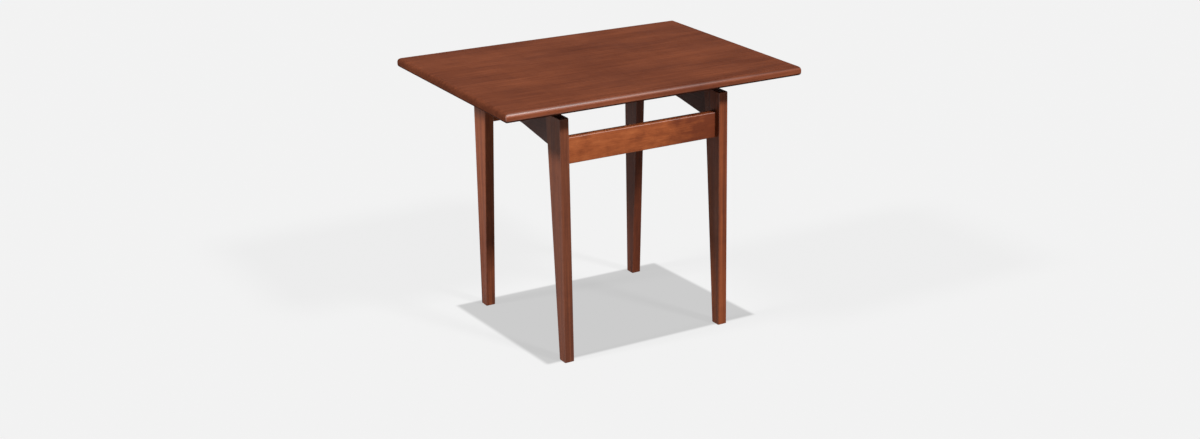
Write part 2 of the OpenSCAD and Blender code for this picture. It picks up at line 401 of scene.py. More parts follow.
@dataclass
class SubAssembly:
    """What every part of the table has in common, and the sizes that several of them share.

    The frame ends at frame_z, the screws' heads bear at seat_z, and screw_x and screw_y are the screws'
    distances from the middle of the table.
    """

    frame_z: float = 536.0 * MM
    seat_z: float = 506.2 * MM
    screw_x: float = 192.425 * MM
    screw_y: float = 115.025 * MM
    shank_hole_radius: float = 2.75 * MM
    tenon_thickness: float = 8.0 * MM
    glue_gap: float = 0.15 * MM
    end_gap: float = 1.0 * MM
    pieces: dict[str, Piece] = field(default_factory=dict, init=False)
    slots: dict[str, str] = field(default_factory=dict, init=False)

    def keep(self, node: str, piece: Piece, slot: str) -> None:
        """Files a shaped piece and its slot under the solid that it stands for."""
        self.pieces[node] = piece
        self.slots[node] = slot

    def spread(self, piece: Piece, look: str, slot: str, flips: Mapping[str, Triple]) -> None:
        """Copies a piece to all its places and uses it up.

        Args:
            piece: The right or the back right one.
            look: Last word of the copies' names.
            slot: Their material slot.
            flips: The mirroring for each solid's name.
        """
        for node, flip in flips.items():
            self.keep(node, mirrored(piece, f"{node}_{look}", flip), slot)
        bpy.data.objects.remove(piece)

    def slot_of(self, node: str) -> str:
        """Gives the material slot name that was filed for a solid."""
        return self.slots[node]

    def dress(self, finishes: Mapping[str, "Finish"]) -> None:
        """Gives every piece its finish and ties it to the table.

        Args:
            finishes: The finish for each solid's name.
        """
        for node, piece in self.pieces.items():
            piece.data.materials.clear()
            piece.data.materials.append(finishes[node].material())
            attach(piece, "root")
            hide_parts(node)
            self.slot_of(node)
            log.info("%s stands for %s with %d faces", piece.name, node, len(piece.data.polygons))


@dataclass
class FloatingTop(SubAssembly):
    """The slab, with its edges rounded over and four pilot holes below."""

    width: float = 704.85 * MM
    depth: float = 527.05 * MM
    height: float = 584.2 * MM
    thickness: float = 20.0 * MM
    upper_round: float = 8.0 * MM
    lower_round: float = 6.0 * MM
    corner_round: float = 3.0 * MM
    round_facets: int = 12
    hole_radius: float = 2.55 * MM
    hole_depth: float = 14.0 * MM

    @property
    def underside(self) -> float:
        """Height of the slab's lower face."""
        return self.height - self.thickness

    def build(self) -> None:
        """Shapes the slab and bores it for the screws."""
        half_w, half_d = self.width / 2, self.depth / 2
        slab = block("tabletop_slab", (-half_w, -half_d, self.underside), (half_w, half_d, self.height))
        self._round_over(slab)
        for side, end, _ in corners("screw").values():
            foot = (side * self.screw_x, end * self.screw_y, self.underside - OVERRUN)
            drill(slab, foot, self.hole_radius, self.hole_depth + OVERRUN)
        smooth(slab)
        self.keep("tabletop", slab, "top_wood")

    def _round_over(self, slab: Piece) -> None:
        """Rounds all twelve edges of the slab in one pass, the upper ones most."""
        weights = slab.data.attributes.new("bevel_weight_edge", "FLOAT", "EDGE")
        for edge in slab.data.edges:
            low, high = sorted(slab.data.vertices[i].co.z for i in edge.vertices)
            if high - low > HAIR:
                radius = self.corner_round
            else:
                radius = self.upper_round if low > self.underside + HAIR else self.lower_round
            weights.data[edge.index].value = radius / self.upper_round
        change(slab, "BEVEL", limit_method="WEIGHT", offset_type="OFFSET", width=self.upper_round,
               segments=self.round_facets)


@dataclass
class EndFrames(SubAssembly):
    """Two end frames. Each is shaped as one blank and then cut into two legs and a side rail."""

    outer_x: float = 203.425 * MM
    outer_y: float = 201.525 * MM
    thickness: float = 22.0 * MM
    foot_depth: float = 25.5 * MM
    head_depth: float = 59.0 * MM
    rail_end_height: float = 66.0 * MM
    rail_middle_height: float = 44.0 * MM
    bend_radius: float = 300.0 * MM
    bend_facets: int = 16
    edge_round: float = 2.0 * MM
    head_round: float = 3.0 * MM
    foot_bevel: float = 1.0 * MM
    foot_facets: int = 2
    tenon_height: float = 38.0 * MM
    tenon_length: float = 26.0 * MM
    chisel_length: float = 60.0 * MM
    counterbore_radius: float = 5.5 * MM
    counterbore_facets: int = 48

    @property
    def middle_x(self) -> float:
        """Middle of a frame's thickness at the right end."""
        return self.outer_x - self.thickness / 2

    @property
    def low_z(self) -> float:
        """Height at which a side rail's lower edge leaves the leg."""
        return self.frame_z - self.rail_end_height

    @property
    def ridge_z(self) -> float:
        """Height at which the two slopes of the lower edge would meet."""
        return self.frame_z - self.rail_middle_height

    @property
    def tenon_z(self) -> float:
        """Height of the middle of a side rail's tenon."""
        return self.frame_z - self.rail_end_height / 2

    def inner_y(self, height: float) -> float:
        """Gives the Y of a back leg's leaning face at a height."""
        depth = self.foot_depth + (self.head_depth - self.foot_depth) * height / self.frame_z
        return self.outer_y - depth

    def build(self, cross_mortise: tuple[Triple, Triple]) -> None:
        """Shapes both end frames.

        Args:
            cross_mortise: Lowest and highest corner of the back right leg's mortise for a cross rail.
        """
        blank = self._blank()
        leg = self._cut_leg(blank, cross_mortise)
        rail = self._cut_rail(blank)
        bpy.data.objects.remove(blank)
        self.spread(leg, "tapered", "leg_wood", corners("leg"))
        self.spread(rail, "arched", "side_rail_wood",
                    {f"side_rail_{side.name.lower()}": (side.value, 1, 1) for side in Side})

    def _blank(self) -> Piece:
        """Shapes the right end frame in one piece, softened all round."""
        near, far, top = self.outer_x - self.thickness, self.outer_x, self.frame_z
        corner_y, foot_y = self.inner_y(self.low_z), self.outer_y - self.foot_depth
        climb = math.atan((self.ridge_z - self.low_z) / corner_y)

        def below(edge: bmesh.types.BMEdge) -> bool:
            """Says whether an edge lies below the upper one."""
            return middle(edge).z < top - HAIR

        blank = block("end_frame", (near, -self.outer_y, self.low_z), (far, self.outer_y, top))
        with Shaping(blank) as shape:
            for y in (-corner_y, 0.0, corner_y):
                shape.saw((0, y, 0), (0, 1, 0))
            shape.pick(Part.FACE, lambda f: f.normal.z < -PARALLEL and abs(middle(f).y) > corner_y)
            shape.pull((0, 0, -self.low_z))
            for hand in (-1, 1):
                shape.pick(Part.CORNER, lambda v: v.co.z < HAIR and abs(v.co.y - hand * corner_y) < HAIR)
                shape.move((0, hand * (foot_y - corner_y), 0))
            shape.pick(Part.CORNER, lambda v: abs(v.co.y) < HAIR and abs(v.co.z - self.low_z) < HAIR)
            shape.move((0, 0, self.ridge_z - self.low_z))
            shape.merge_flats()
            shape.pick(Part.EDGE, lambda e: along(e, 0) and abs(middle(e).y) < HAIR and below(e))
            shape.ease(self.bend_radius * math.tan(climb), self.bend_facets)
            shape.pick(Part.EDGE, lambda e: along(e, 0) and not below(e)).ease(self.head_round)
            shape.pick(Part.EDGE, lambda e: rims(e, 0) and middle(e).z > HAIR).ease(self.edge_round)
            shape.pick(Part.EDGE, lambda e: rims(e, 2) and middle(e).z < HAIR)
            shape.ease(self.foot_bevel, self.foot_facets)
        return blank

    def _shoulder(self) -> tuple[Vector, Vector]:
        """Gives a point on the back joint's plane and the direction across it, towards the rail."""
        corner = Vector((0, self.inner_y(self.low_z), self.low_z))
        lean = self.head_depth - self.foot_depth
        return corner, Vector((0, -self.frame_z, -lean)).normalized()

    def _cut_leg(self, blank: Piece, cross_mortise: tuple[Triple, Triple]) -> Piece:
        """Cuts the back leg off the blank and chops its two mortises.

        Args:
            blank: The right end frame in one piece.
            cross_mortise: Lowest and highest corner of the mortise for a cross rail.

        Returns:
            The back right leg.
        """
        leg = copy(blank, "leg")
        point, towards_rail = self._shoulder()
        with Shaping(leg) as shape:
            shape.saw(point, towards_rail, drop=True)
            shape.close(lambda edge: True)
            shape.face_outwards()
        half_t = self.tenon_thickness / 2 + self.glue_gap
        half_h = self.tenon_height / 2 + self.glue_gap
        far_y = self.inner_y(self.tenon_z) + self.tenon_length + self.end_gap
        side_mortise = ((self.middle_x - half_t, far_y - self.chisel_length, self.tenon_z - half_h),
                        (self.middle_x + half_t, far_y, self.tenon_z + half_h))
        for mortise in (side_mortise, cross_mortise):
            work(leg, block("chisel", *mortise), Joinery.CUT)
        smooth(leg)
        return leg

    def _cut_rail(self, blank: Piece) -> Piece:
        """Cuts the side rail out of the blank, adds its tenons and bores it for the screws.

        Args:
            blank: The right end frame in one piece.

        Returns:
            The right side rail.
        """
        rail = copy(blank, "side_rail")
        point, towards_rail = self._shoulder()
        with Shaping(rail) as shape:
            for hand in (-1, 1):
                flip = Vector((1, hand, 1))
                shape.saw(point * flip, -towards_rail * flip, drop=True)
            shape.pick(Part.FACE, lambda f: middle(f).z < self.low_z - HAIR)
            bpy.ops.mesh.delete(type="FACE")
            for hand in (-1, 1):
                shape.close(lambda edge: middle(edge).y * hand > 0)
            shape.face_outwards()
        half_t, half_h = self.tenon_thickness / 2, self.tenon_height / 2
        root_y = self.inner_y(self.frame_z) - LAP
        end_y = self.inner_y(self.tenon_z) + self.tenon_length
        low = self.low_z - OVERRUN
        for hand in (-1, 1):
            near_y, far_y = sorted((hand * root_y, hand * end_y))
            tenon = block("tenon", (self.middle_x - half_t, near_y, self.tenon_z - half_h),
                          (self.middle_x + half_t, far_y, self.tenon_z + half_h))
            work(rail, tenon, Joinery.ADD)
            axis = (self.middle_x, hand * self.screw_y)
            drill(rail, (*axis, low), self.counterbore_radius, self.seat_z - low,
                  self.counterbore_facets)
            drill(rail, (*axis, self.seat_z - LAP), self.shank_hole_radius,
                  self.frame_z - self.seat_z + 2 * LAP)
        smooth(rail)
        return rail


@dataclass
class CrossRails(SubAssembly):
    """The front and the back rail, with softened long edges and a tenon at each end."""

    shoulder_x: float = 181.425 * MM
    middle_y: float = 181.525 * MM
    thickness: float = 18.0 * MM
    low_z: float = 434.0 * MM
    height: float = 57.0 * MM
    edge_round: float = 2.5 * MM
    tenon_height: float = 36.0 * MM
    tenon_length: float = 15.0 * MM

    @property
    def middle_z(self) -> float:
        """Height of the middle of a rail."""
        return self.low_z + self.height / 2

    def _bar(self, reaches: Span, half_t: float, half_h: float) -> tuple[Triple, Triple]:
        """Gives the lowest and the highest corner of a block round the back rail's centre line."""
        return tuple((x, self.middle_y + hand * half_t, self.middle_z + hand * half_h)
                     for x, hand in zip(reaches, (-1, 1)))

    def mortise(self) -> tuple[Triple, Triple]:
        """Gives the lowest and the highest corner of the mortise in the back right leg."""
        reaches = (self.shoulder_x - LAP, self.shoulder_x + self.tenon_length + self.end_gap)
        return self._bar(reaches, self.tenon_thickness / 2 + self.glue_gap,
                         self.tenon_height / 2 + self.glue_gap)

    def build(self) -> None:
        """Shapes the back rail and copies it to the front."""
        reach = self.shoulder_x
        rail = block("cross_rail", (-reach, self.middle_y - self.thickness / 2, self.low_z),
                     (reach, self.middle_y + self.thickness / 2, self.low_z + self.height))
        with Shaping(rail) as shape:
            shape.pick(Part.EDGE, lambda e: along(e, 0)).ease(self.edge_round)
        reach = self.shoulder_x + self.tenon_length
        tenons = self._bar((-reach, reach), self.tenon_thickness / 2, self.tenon_height / 2)
        work(rail, block("tenons", *tenons), Joinery.ADD)
        smooth(rail, ends_along=0)
        self.spread(rail, "eased", "cross_rail_wood",
                    {f"{end.name.lower()}_rail": (1, end.value, 1) for end in End})


@dataclass
class Spacers(SubAssembly):
    """Four turned spacers between the side rails and the top."""

    height: float = 28.2 * MM
    radius: float = 10.0 * MM
    facets: int = 72
    bevel: float = 1.0 * MM
    bevel_facets: int = 3

    def build(self) -> None:
        """Turns one spacer, bores it and copies it to its four places."""
        axis = (self.screw_x, self.screw_y)
        turned = dowel("spacer", (*axis, self.frame_z), self.radius, self.height, facets=self.facets)
        with Shaping(turned) as shape:
            shape.pick(Part.EDGE, lambda e: rims(e, 2)).ease(self.bevel, self.bevel_facets)
        drill(turned, (*axis, self.frame_z - LAP), self.shank_hole_radius, self.height + 2 * LAP)
        smooth(turned)
        self.spread(turned, "turned", "spacer_wood", corners("spacer"))


@dataclass
class Screws(SubAssembly):
    """Four round-headed slotted wood screws, driven upwards."""

    length: float = 70.0 * MM
    shank_radius: float = 2.5 * MM
    core_radius: float = 1.75 * MM
    point_length: float = 6.0 * MM
    thread_length: float = 34.0 * MM
    thread_sink: float = 0.3 * MM
    pitch: float = 2.1 * MM
    flank_share: float = 0.38
    turn_facets: int = 20
    head_radius: float = 4.75 * MM
    head_height: float = 3.6 * MM
    head_sink: float = 0.2 * MM
    dome_facets: tuple[int, int] = (48, 32)
    slot_width: float = 1.2 * MM
    slot_depth: float = 1.8 * MM
    crisp_deg: float = 30.0

    def build(self) -> None:
        """Makes one screw and copies it to its four places."""
        axis = (self.screw_x, self.screw_y)
        plain = self.length - self.thread_length
        screw = dowel("screw", (*axis, self.seat_z), self.shank_radius, plain)
        core = dowel("core", (*axis, self.seat_z + plain - LAP), self.core_radius,
                     self.thread_length - self.point_length + LAP)
        point = dowel("point", (*axis, self.seat_z + self.length - self.point_length - HAIR),
                      self.core_radius, self.point_length, tip=0.0)
        work(core, point, Joinery.ADD)
        work(core, self._thread(), Joinery.ADD)
        work(screw, core, Joinery.ADD)
        work(screw, self._head(), Joinery.ADD)
        smooth(screw, self.crisp_deg)
        for node, (side, end, _) in corners("screw").items():
            twin = copy(screw, f"{node}_slotted")
            twin.location = ((side - 1) * self.screw_x, (end - 1) * self.screw_y, 0)
            bpy.ops.object.transform_apply()
            self.keep(node, twin, "screw_brass")
        bpy.data.objects.remove(screw)

    def _head(self) -> Piece:
        """Shapes the domed head, with its slot on the underside."""
        dome = (self.head_radius ** 2 + self.head_height ** 2) / (2 * self.head_height)
        segments, rings = self.dome_facets
        clear()
        bpy.ops.mesh.primitive_uv_sphere_add(
            segments=segments, ring_count=rings, radius=dome,
            location=(self.screw_x, self.screw_y, self.seat_z - self.head_height + dome))
        head = settle("head")
        with Shaping(head) as shape:
            shape.saw((0, 0, self.seat_z + self.head_sink), (0, 0, 1), drop=True)
            shape.close(lambda edge: True)
            shape.face_outwards()
        half_w, reach = self.slot_width / 2, self.head_radius + LAP
        low = self.seat_z - self.head_height
        saw = block("slot", (self.screw_x - reach, self.screw_y - half_w, low - LAP),
                    (self.screw_x + reach, self.screw_y + half_w, low + self.slot_depth))
        work(head, saw, Joinery.CUT)
        return head

    def _thread(self) -> Piece:
        """Winds the thread round the core as one closed ridge."""
        start = self.seat_z + self.length - self.thread_length + self.pitch
        turns = int((self.thread_length - self.point_length - self.pitch) / self.pitch) - 1
        root, crest = self.core_radius - self.thread_sink, self.shank_radius
        half = self.flank_share * self.pitch
        clear()
        bpy.ops.mesh.primitive_circle_add(vertices=3, radius=MM, fill_type="NOTHING")
        ridge = settle("thread")
        section = ((root, 0.0, -half), (crest, 0.0, 0.0), (root, 0.0, half))
        for corner, place in zip(ridge.data.vertices, section):
            corner.co = place
        change(ridge, "SCREW", axis="Z", angle=2 * math.pi, screw_offset=self.pitch, iterations=turns,
               steps=self.turn_facets, render_steps=self.turn_facets, use_merge_vertices=True)
        ridge.location = (self.screw_x, self.screw_y, start)
        bpy.ops.object.transform_apply()
        with Shaping(ridge) as shape:
            for level in (start, start + turns * self.pitch):
                shape.close(lambda edge: abs(middle(edge).z - level) < half)
            shape.face_outwards()
        return ridge


class Signal:
    """A socket of a material that takes part in Python arithmetic, each step of it a Math node."""

    def __init__(self, wiring: "Wiring", socket: bpy.types.NodeSocket) -> None:
        """Keeps the socket and the tree that it belongs to."""
        self.wiring = wiring
        self.socket = socket

    def _math(self, operation: str, *others: "Number") -> "Signal":
        """Adds a Math node that takes this value first."""
        return self.wiring.node("ShaderNodeMath", dict(enumerate((self, *others))), operation=operation)

    __add__ = __radd__ = partialmethod(_math, "ADD")
    __sub__ = partialmethod(_math, "SUBTRACT")
    __mul__ = __rmul__ = partialmethod(_math, "MULTIPLY")
    __truediv__ = partialmethod(_math, "DIVIDE")
    __pow__ = partialmethod(_math, "POWER")
    __abs__ = partialmethod(_math, "ABSOLUTE")

    def __rsub__(self, other: float) -> "Signal":
        """Subtracts this from a number."""
        return self.wiring.node("ShaderNodeMath", {0: other, 1: self}, operation="SUBTRACT")

    def clamp(self) -> "Signal":
        """Keeps the value from 0 to 1."""
        return self.wiring.node("ShaderNodeClamp", {"Value": self})

    def step(self, low: float, high: float) -> "Signal":
        """Climbs smoothly from 0 at one value to 1 at another."""
        return self.wiring.node("ShaderNodeMapRange", {"Value": self, "From Min": low, "From Max": high},
                                interpolation_type="SMOOTHSTEP")


Number = Union[Signal, float]


class Wiring:
    """The node tree of a material or a world, empty at first."""

    def __init__(self, owner: Union[bpy.types.Material, bpy.types.World]) -> None:
        """Clears the owner's tree."""
        owner.use_nodes = True
        self.tree = owner.node_tree
        self.tree.nodes.clear()

    def node(self, kind: str, sockets: Mapping[Union[int, str], Any], out: Union[int, str] = 0,
             **settings: Any) -> Signal:
        """Adds one node.

        Args:
            kind: Blender's name for the node's type.
            sockets: The value or signal for each input, by name or by place.
            out: The output that is wanted.
            settings: Its properties. "stops" holds a colour ramp's places and colours.

        Returns:
            That output, or the first input of a node that has none.
        """
        made = self.tree.nodes.new(kind)
        for name, value in settings.items():
            if name == "stops":
                self._set_stops(made.color_ramp, value)
            else:
                setattr(made, name, value)
        for name, value in sockets.items():
            if isinstance(value, Signal):
                self.tree.links.new(value.socket, made.inputs[name])
            else:
                made.inputs[name].default_value = value
        return Signal(self, made.outputs[out] if made.outputs else made.inputs[0])

    @staticmethod
    def _set_stops(ramp: bpy.types.ColorRamp, stops: Sequence[tuple[float, Colour]]) -> None:
        """Gives a ramp its stops."""
        while len(ramp.elements) < len(stops):
            ramp.elements.new(1.0)
        for element, (place, colour) in zip(ramp.elements, stops):
            element.position, element.color = place, colour

    def place(self) -> Signal:
        """Gives the place on the piece."""
        return self.node("ShaderNodeTexCoord", {}, "Object")

    def split(self, value: Signal) -> tuple[Signal, Signal, Signal]:
        """Gives the three numbers of a vector."""
        node = self.node("ShaderNodeSeparateXYZ", {0: value}).socket.node
        x, y, z = (Signal(self, socket) for socket in node.outputs)
        return x, y, z

    def noise(self, place: Signal, scale: Triple, detail: float = 2.0, roughness: float = 0.5) -> Signal:
        """Adds a cloudy pattern.

        Args:
            place: Where on the piece.
            scale: How many clouds there are in a metre along each axis.
            detail: How many finer layers it has.
            roughness: How strong the finer layers are.

        Returns:
            A number round 0.5.
        """
        stretched = self.node("ShaderNodeVectorMath", {0: place, 1: tuple(scale)}, operation="MULTIPLY")
        return self.node("ShaderNodeTexNoise",
                         {"Vector": stretched, "Scale": 1.0, "Detail": detail, "Roughness": roughness},
                         noise_dimensions="3D")

    def blend(self, share: Number, first: Any, second: Any) -> Signal:
        """Mixes two colours."""
        return self.node("ShaderNodeMix", {0: share, 6: first, 7: second}, 2, data_type="RGBA")

    def finish(self, shader: Signal, kind: str = "ShaderNodeOutputMaterial") -> None:
        """Connects the shader to the output."""
        self.node(kind, {"Surface": shader})


class Finish:
    """A finish that can make a material."""

    def material(self) -> bpy.types.Material:
        """Makes the material."""
        raise NotImplementedError


@dataclass(frozen=True)
class Timber(Finish):
    """Stained hardwood under a thin satin finish, cut from a log whose fibres run one way.

    The pattern is solid: rings, fibres and pores run through the piece, so end grain shows where the
    fibres are cut across. A share says how much a thing counts, a scale how often it comes in a metre,
    and a span where it begins and where it is complete.
    """

    name: str
    body: Colour
    dark: Colour
    pale: Colour
    grain: Grain
    board: Triple
    heart: Span = (0.03, -0.34)
    sway: float = 0.02
    ring_share: float = 0.5
    streak_share: float = 0.5
    streak_scale: Triple = (4.0, 150.0, 150.0)
    blotch_share: float = 0.35
    blotch_scale: Triple = (5.0, 9.0, 9.0)
    fibre_share: float = 0.35
    ripple_share: float = 0.14
    lift: float = 0.0
    # Tone change per metre along X, Y and Z. On the top it is partly the wood's own tone and partly painted
    # fall-off of light, darker to the right and back.
    fade: Triple = (0.0, 0.0, 0.0)
    # Darkens the board towards its right end, over a span along X: painted shade beside the right leg.
    painted_end_shade: float = 0.0
    painted_end_shade_span: Span = (1.0, 2.0)
    tone_stops: Triple = (0.22, 0.5, 0.78)
    deepest: float = 0.45
    pore_share: float = 0.55
    lone_pores: float = 0.35
    end_share: float = 0.5
    worn_share: float = 0.3
    # Darkens the faces that look down: painted shade under the edges.
    painted_underside_shade: float = 0.0
    # Scales the colour of faces that look along X and along Y: painted light and shade.
    painted_facing_gain: Span = (1.0, 1.0)
    shine: float = 0.2
    roughness: float = 0.55
    touch_dulls: float = 0.16
    pores_dull: float = 0.12
    fibres_gloss: float = 0.08
    fibre_height: float = 0.6
    pore_depth: float = 0.8
    polish_share: float = 0.3
    polish_least: float = 0.6
    polish_touch: float = 0.8
    polish_ior: float = 1.7
    polish_roughness: float = 0.24
    # Where the coat is full and where it is gone along X, with its least and extra weight: a painted
    # highlight that weakens to the right.
    painted_highlight_reach: Span = (0.0, 0.0)
    painted_highlight_least: float = 0.05
    painted_highlight_more: float = 0.5

    def material(self) -> bpy.types.Material:
        """Makes the material of one board."""
        made = bpy.data.materials.new(self.name)
        wire = Wiring(made)
        where = wire.place()
        from_left, _, _ = wire.split(where)
        _, turn = self.grain.value
        laid = wire.node("ShaderNodeMapping",
                         {"Vector": where, "Location": tuple(self.board), "Rotation": turn},
                         vector_type="POINT")
        facing = wire.split(wire.node("ShaderNodeNewGeometry", {}, "Normal"))
        eased = wire.node("ShaderNodeAttribute", {}, "Fac", attribute_name=EASED)
        tone, pores, fibre = self._figure(wire, laid)
        tone = tone + self.lift + wire.node("ShaderNodeVectorMath", {0: where, 1: tuple(self.fade)}, 1,
                                            operation="DOT_PRODUCT")
        # Painted shade: darker towards the right end of the board.
        tone = tone - self.painted_end_shade * from_left.step(*self.painted_end_shade_span)
        touch = wire.noise(laid, scale=(9.0, 9.0, 9.0), detail=3.0)
        roughness = (self.roughness + self.touch_dulls * (touch - 0.5) + self.pores_dull * pores
                     - self.fibres_gloss * (fibre - 0.5)).clamp()
        relief = self.fibre_height * fibre - self.pore_depth * pores
        wire.finish(wire.node("ShaderNodeBsdfPrincipled", {
            "Base Color": self._colour(wire, laid, tone, pores, eased, facing), "Roughness": roughness,
            "Normal": wire.node("ShaderNodeBump",
                                {"Strength": 0.35, "Distance": 0.12 * MM, "Height": relief}),
            "Specular IOR Level": self.shine, "IOR": 1.45,
            "Coat Weight": self._polish(from_left, touch, eased, facing),
            "Coat Roughness": self.polish_roughness, "Coat IOR": self.polish_ior}))
        return made

    def _figure(self, wire: Wiring, laid: Signal) -> tuple[Signal, Signal, Signal]:
        """Draws the board's figure.

        Args:
            wire: The material's node tree.
            laid: The place in the log.

        Returns:
            The tone from dark to pale round 0.5, the open pores from 0 to 1, and the fine fibres.
        """
        _, across, through = wire.split(laid)
        off_heart = ((across - self.heart[0]) ** 2 + (through - self.heart[1]) ** 2) ** 0.5
        sway = wire.noise(laid, scale=(1.6, 9.0, 9.0)) - 0.5
        rings = wire.node("ShaderNodeTexNoise", {"W": off_heart + self.sway * sway, "Scale": 130.0,
                                                 "Detail": 3.0, "Roughness": 0.55}, noise_dimensions="1D")
        fibre = wire.noise(laid, scale=(16.0, 850.0, 850.0), detail=3.0, roughness=0.6)
        layers = ((self.ring_share, rings),
                  (self.streak_share, wire.noise(laid, self.streak_scale, detail=3.0, roughness=0.6)),
                  (self.blotch_share, wire.noise(laid, self.blotch_scale, detail=3.0)),
                  (self.fibre_share, fibre),
                  (self.ripple_share, wire.noise(laid, scale=(55.0, 8.0, 8.0))))
        tone = sum((share * (layer - 0.5) for share, layer in layers), 0.5)
        dashes = wire.noise(laid, scale=(70.0, 2600.0, 2600.0), detail=1.0).step(low=0.6, high=0.7)
        crowd = rings.step(low=0.35, high=0.6)
        return tone, dashes * (self.lone_pores + (1.0 - self.lone_pores) * crowd), fibre

    def _colour(self, wire: Wiring, laid: Signal, tone: Signal, pores: Signal, eased: Signal,
                facing: Sequence[Signal]) -> Signal:
        """Colours the figure, darkens cut fibres and open pores, paints shade on faces that look down and
        scales the colour by which way a face looks, as painted light and shade.

        Args:
            wire: The material's node tree.
            laid: The place in the log.
            tone: The figure from dark to pale.
            pores: The open pores.
            eased: 1 on the eased edges.
            facing: Where the surface looks.

        Returns:
            The colour.
        """
        axis, _ = self.grain.value
        stops = tuple(zip(self.tone_stops, (self.dark, self.body, self.pale)))
        ramp = wire.node("ShaderNodeValToRGB", {"Fac": tone}, "Color", stops=stops)
        deep = tuple(self.deepest * value for value in self.dark[:3]) + (1.0,)
        pored = wire.blend(self.pore_share * pores, ramp, deep)
        ended = wire.blend(self.end_share * abs(facing[axis]).step(low=0.55, high=0.95), pored, deep)
        rub = wire.noise(laid, scale=(40.0, 40.0, 40.0), detail=3.0).step(low=0.42, high=0.62)
        rubbed = wire.blend(self.worn_share * eased * rub, ended, self.pale)
        # Painted shade: faces that look down are darkened.
        if self.painted_underside_shade > 0.0:
            below = (0.0 - facing[2]).step(low=-0.1, high=0.5)
            rubbed = wire.blend(self.painted_underside_shade * below, rubbed, deep)
        # Painted light and shade: the colour is scaled by which way the face looks.
        if self.painted_facing_gain == (1.0, 1.0):
            return rubbed
        painted_light_gain = 1.0 + sum((each - 1.0) * abs(part).step(low=0.75, high=1.0)
                         for each, part in zip(self.painted_facing_gain, facing))
        return wire.node("ShaderNodeVectorMath", {"Vector": rubbed, "Scale": painted_light_gain}, operation="SCALE")

    def _polish(self, from_left: Signal, touch: Signal, eased: Signal, facing: Sequence[Signal]) -> Signal:
        """Coats the eased edges that don't look down. With a highlight reach set, only edges that look front
        or back keep the coat, and it weakens to the right: a painted highlight fall-off.

        Args:
            from_left: Place along the width.
            touch: Where the wood is handled most.
            eased: 1 on the eased edges.
            facing: Where the surface looks.

        Returns:
            The weight of the polish.
        """
        weight = (self.polish_share * eased * (self.polish_least + self.polish_touch * touch)).clamp()
        # Painted highlight: the coat weakens from left to right, on edges that look front or back.
        if self.painted_highlight_reach != (0.0, 0.0):
            full, gone = self.painted_highlight_reach
            painted_highlight = self.painted_highlight_least + self.painted_highlight_more * ((gone - from_left) / (gone - full)).clamp()
            weight = painted_highlight * abs(facing[1]).step(low=0.3, high=0.7) * weight
        return weight * (1.0 - (0.0 - facing[2]).step(low=0.0, high=0.4))


@dataclass(frozen=True)
class Brass(Finish):
    """Bright brass with a little tarnish and the fine marks of turning."""

    name: str = "screw_brass"
    bright: Colour = srgb(0xd6b068)
    tarnished: Colour = srgb(0x8c683a)
    roughness: float = 0.26
    film_dulls: float = 0.24
    marks_dull: float = 0.08

    def material(self) -> bpy.types.Material:
        """Makes the material."""
        made = bpy.data.materials.new(self.name)
        wire = Wiring(made)
        where = wire.place()
        film = wire.noise(where, scale=(500.0, 500.0, 500.0), detail=4.0, roughness=0.6)
        film = film.step(low=0.42, high=0.68)
        marks = wire.noise(where, scale=(200.0, 200.0, 9000.0))
        relief = wire.node("ShaderNodeBump", {"Strength": 0.2, "Distance": 0.05 * MM, "Height": marks})
        wire.finish(wire.node("ShaderNodeBsdfPrincipled", {
            "Base Color": wire.blend(film, self.bright, self.tarnished), "Metallic": 1.0, "Normal": relief,
            "Roughness": self.roughness + self.film_dulls * film + self.marks_dull * marks}))
        return made


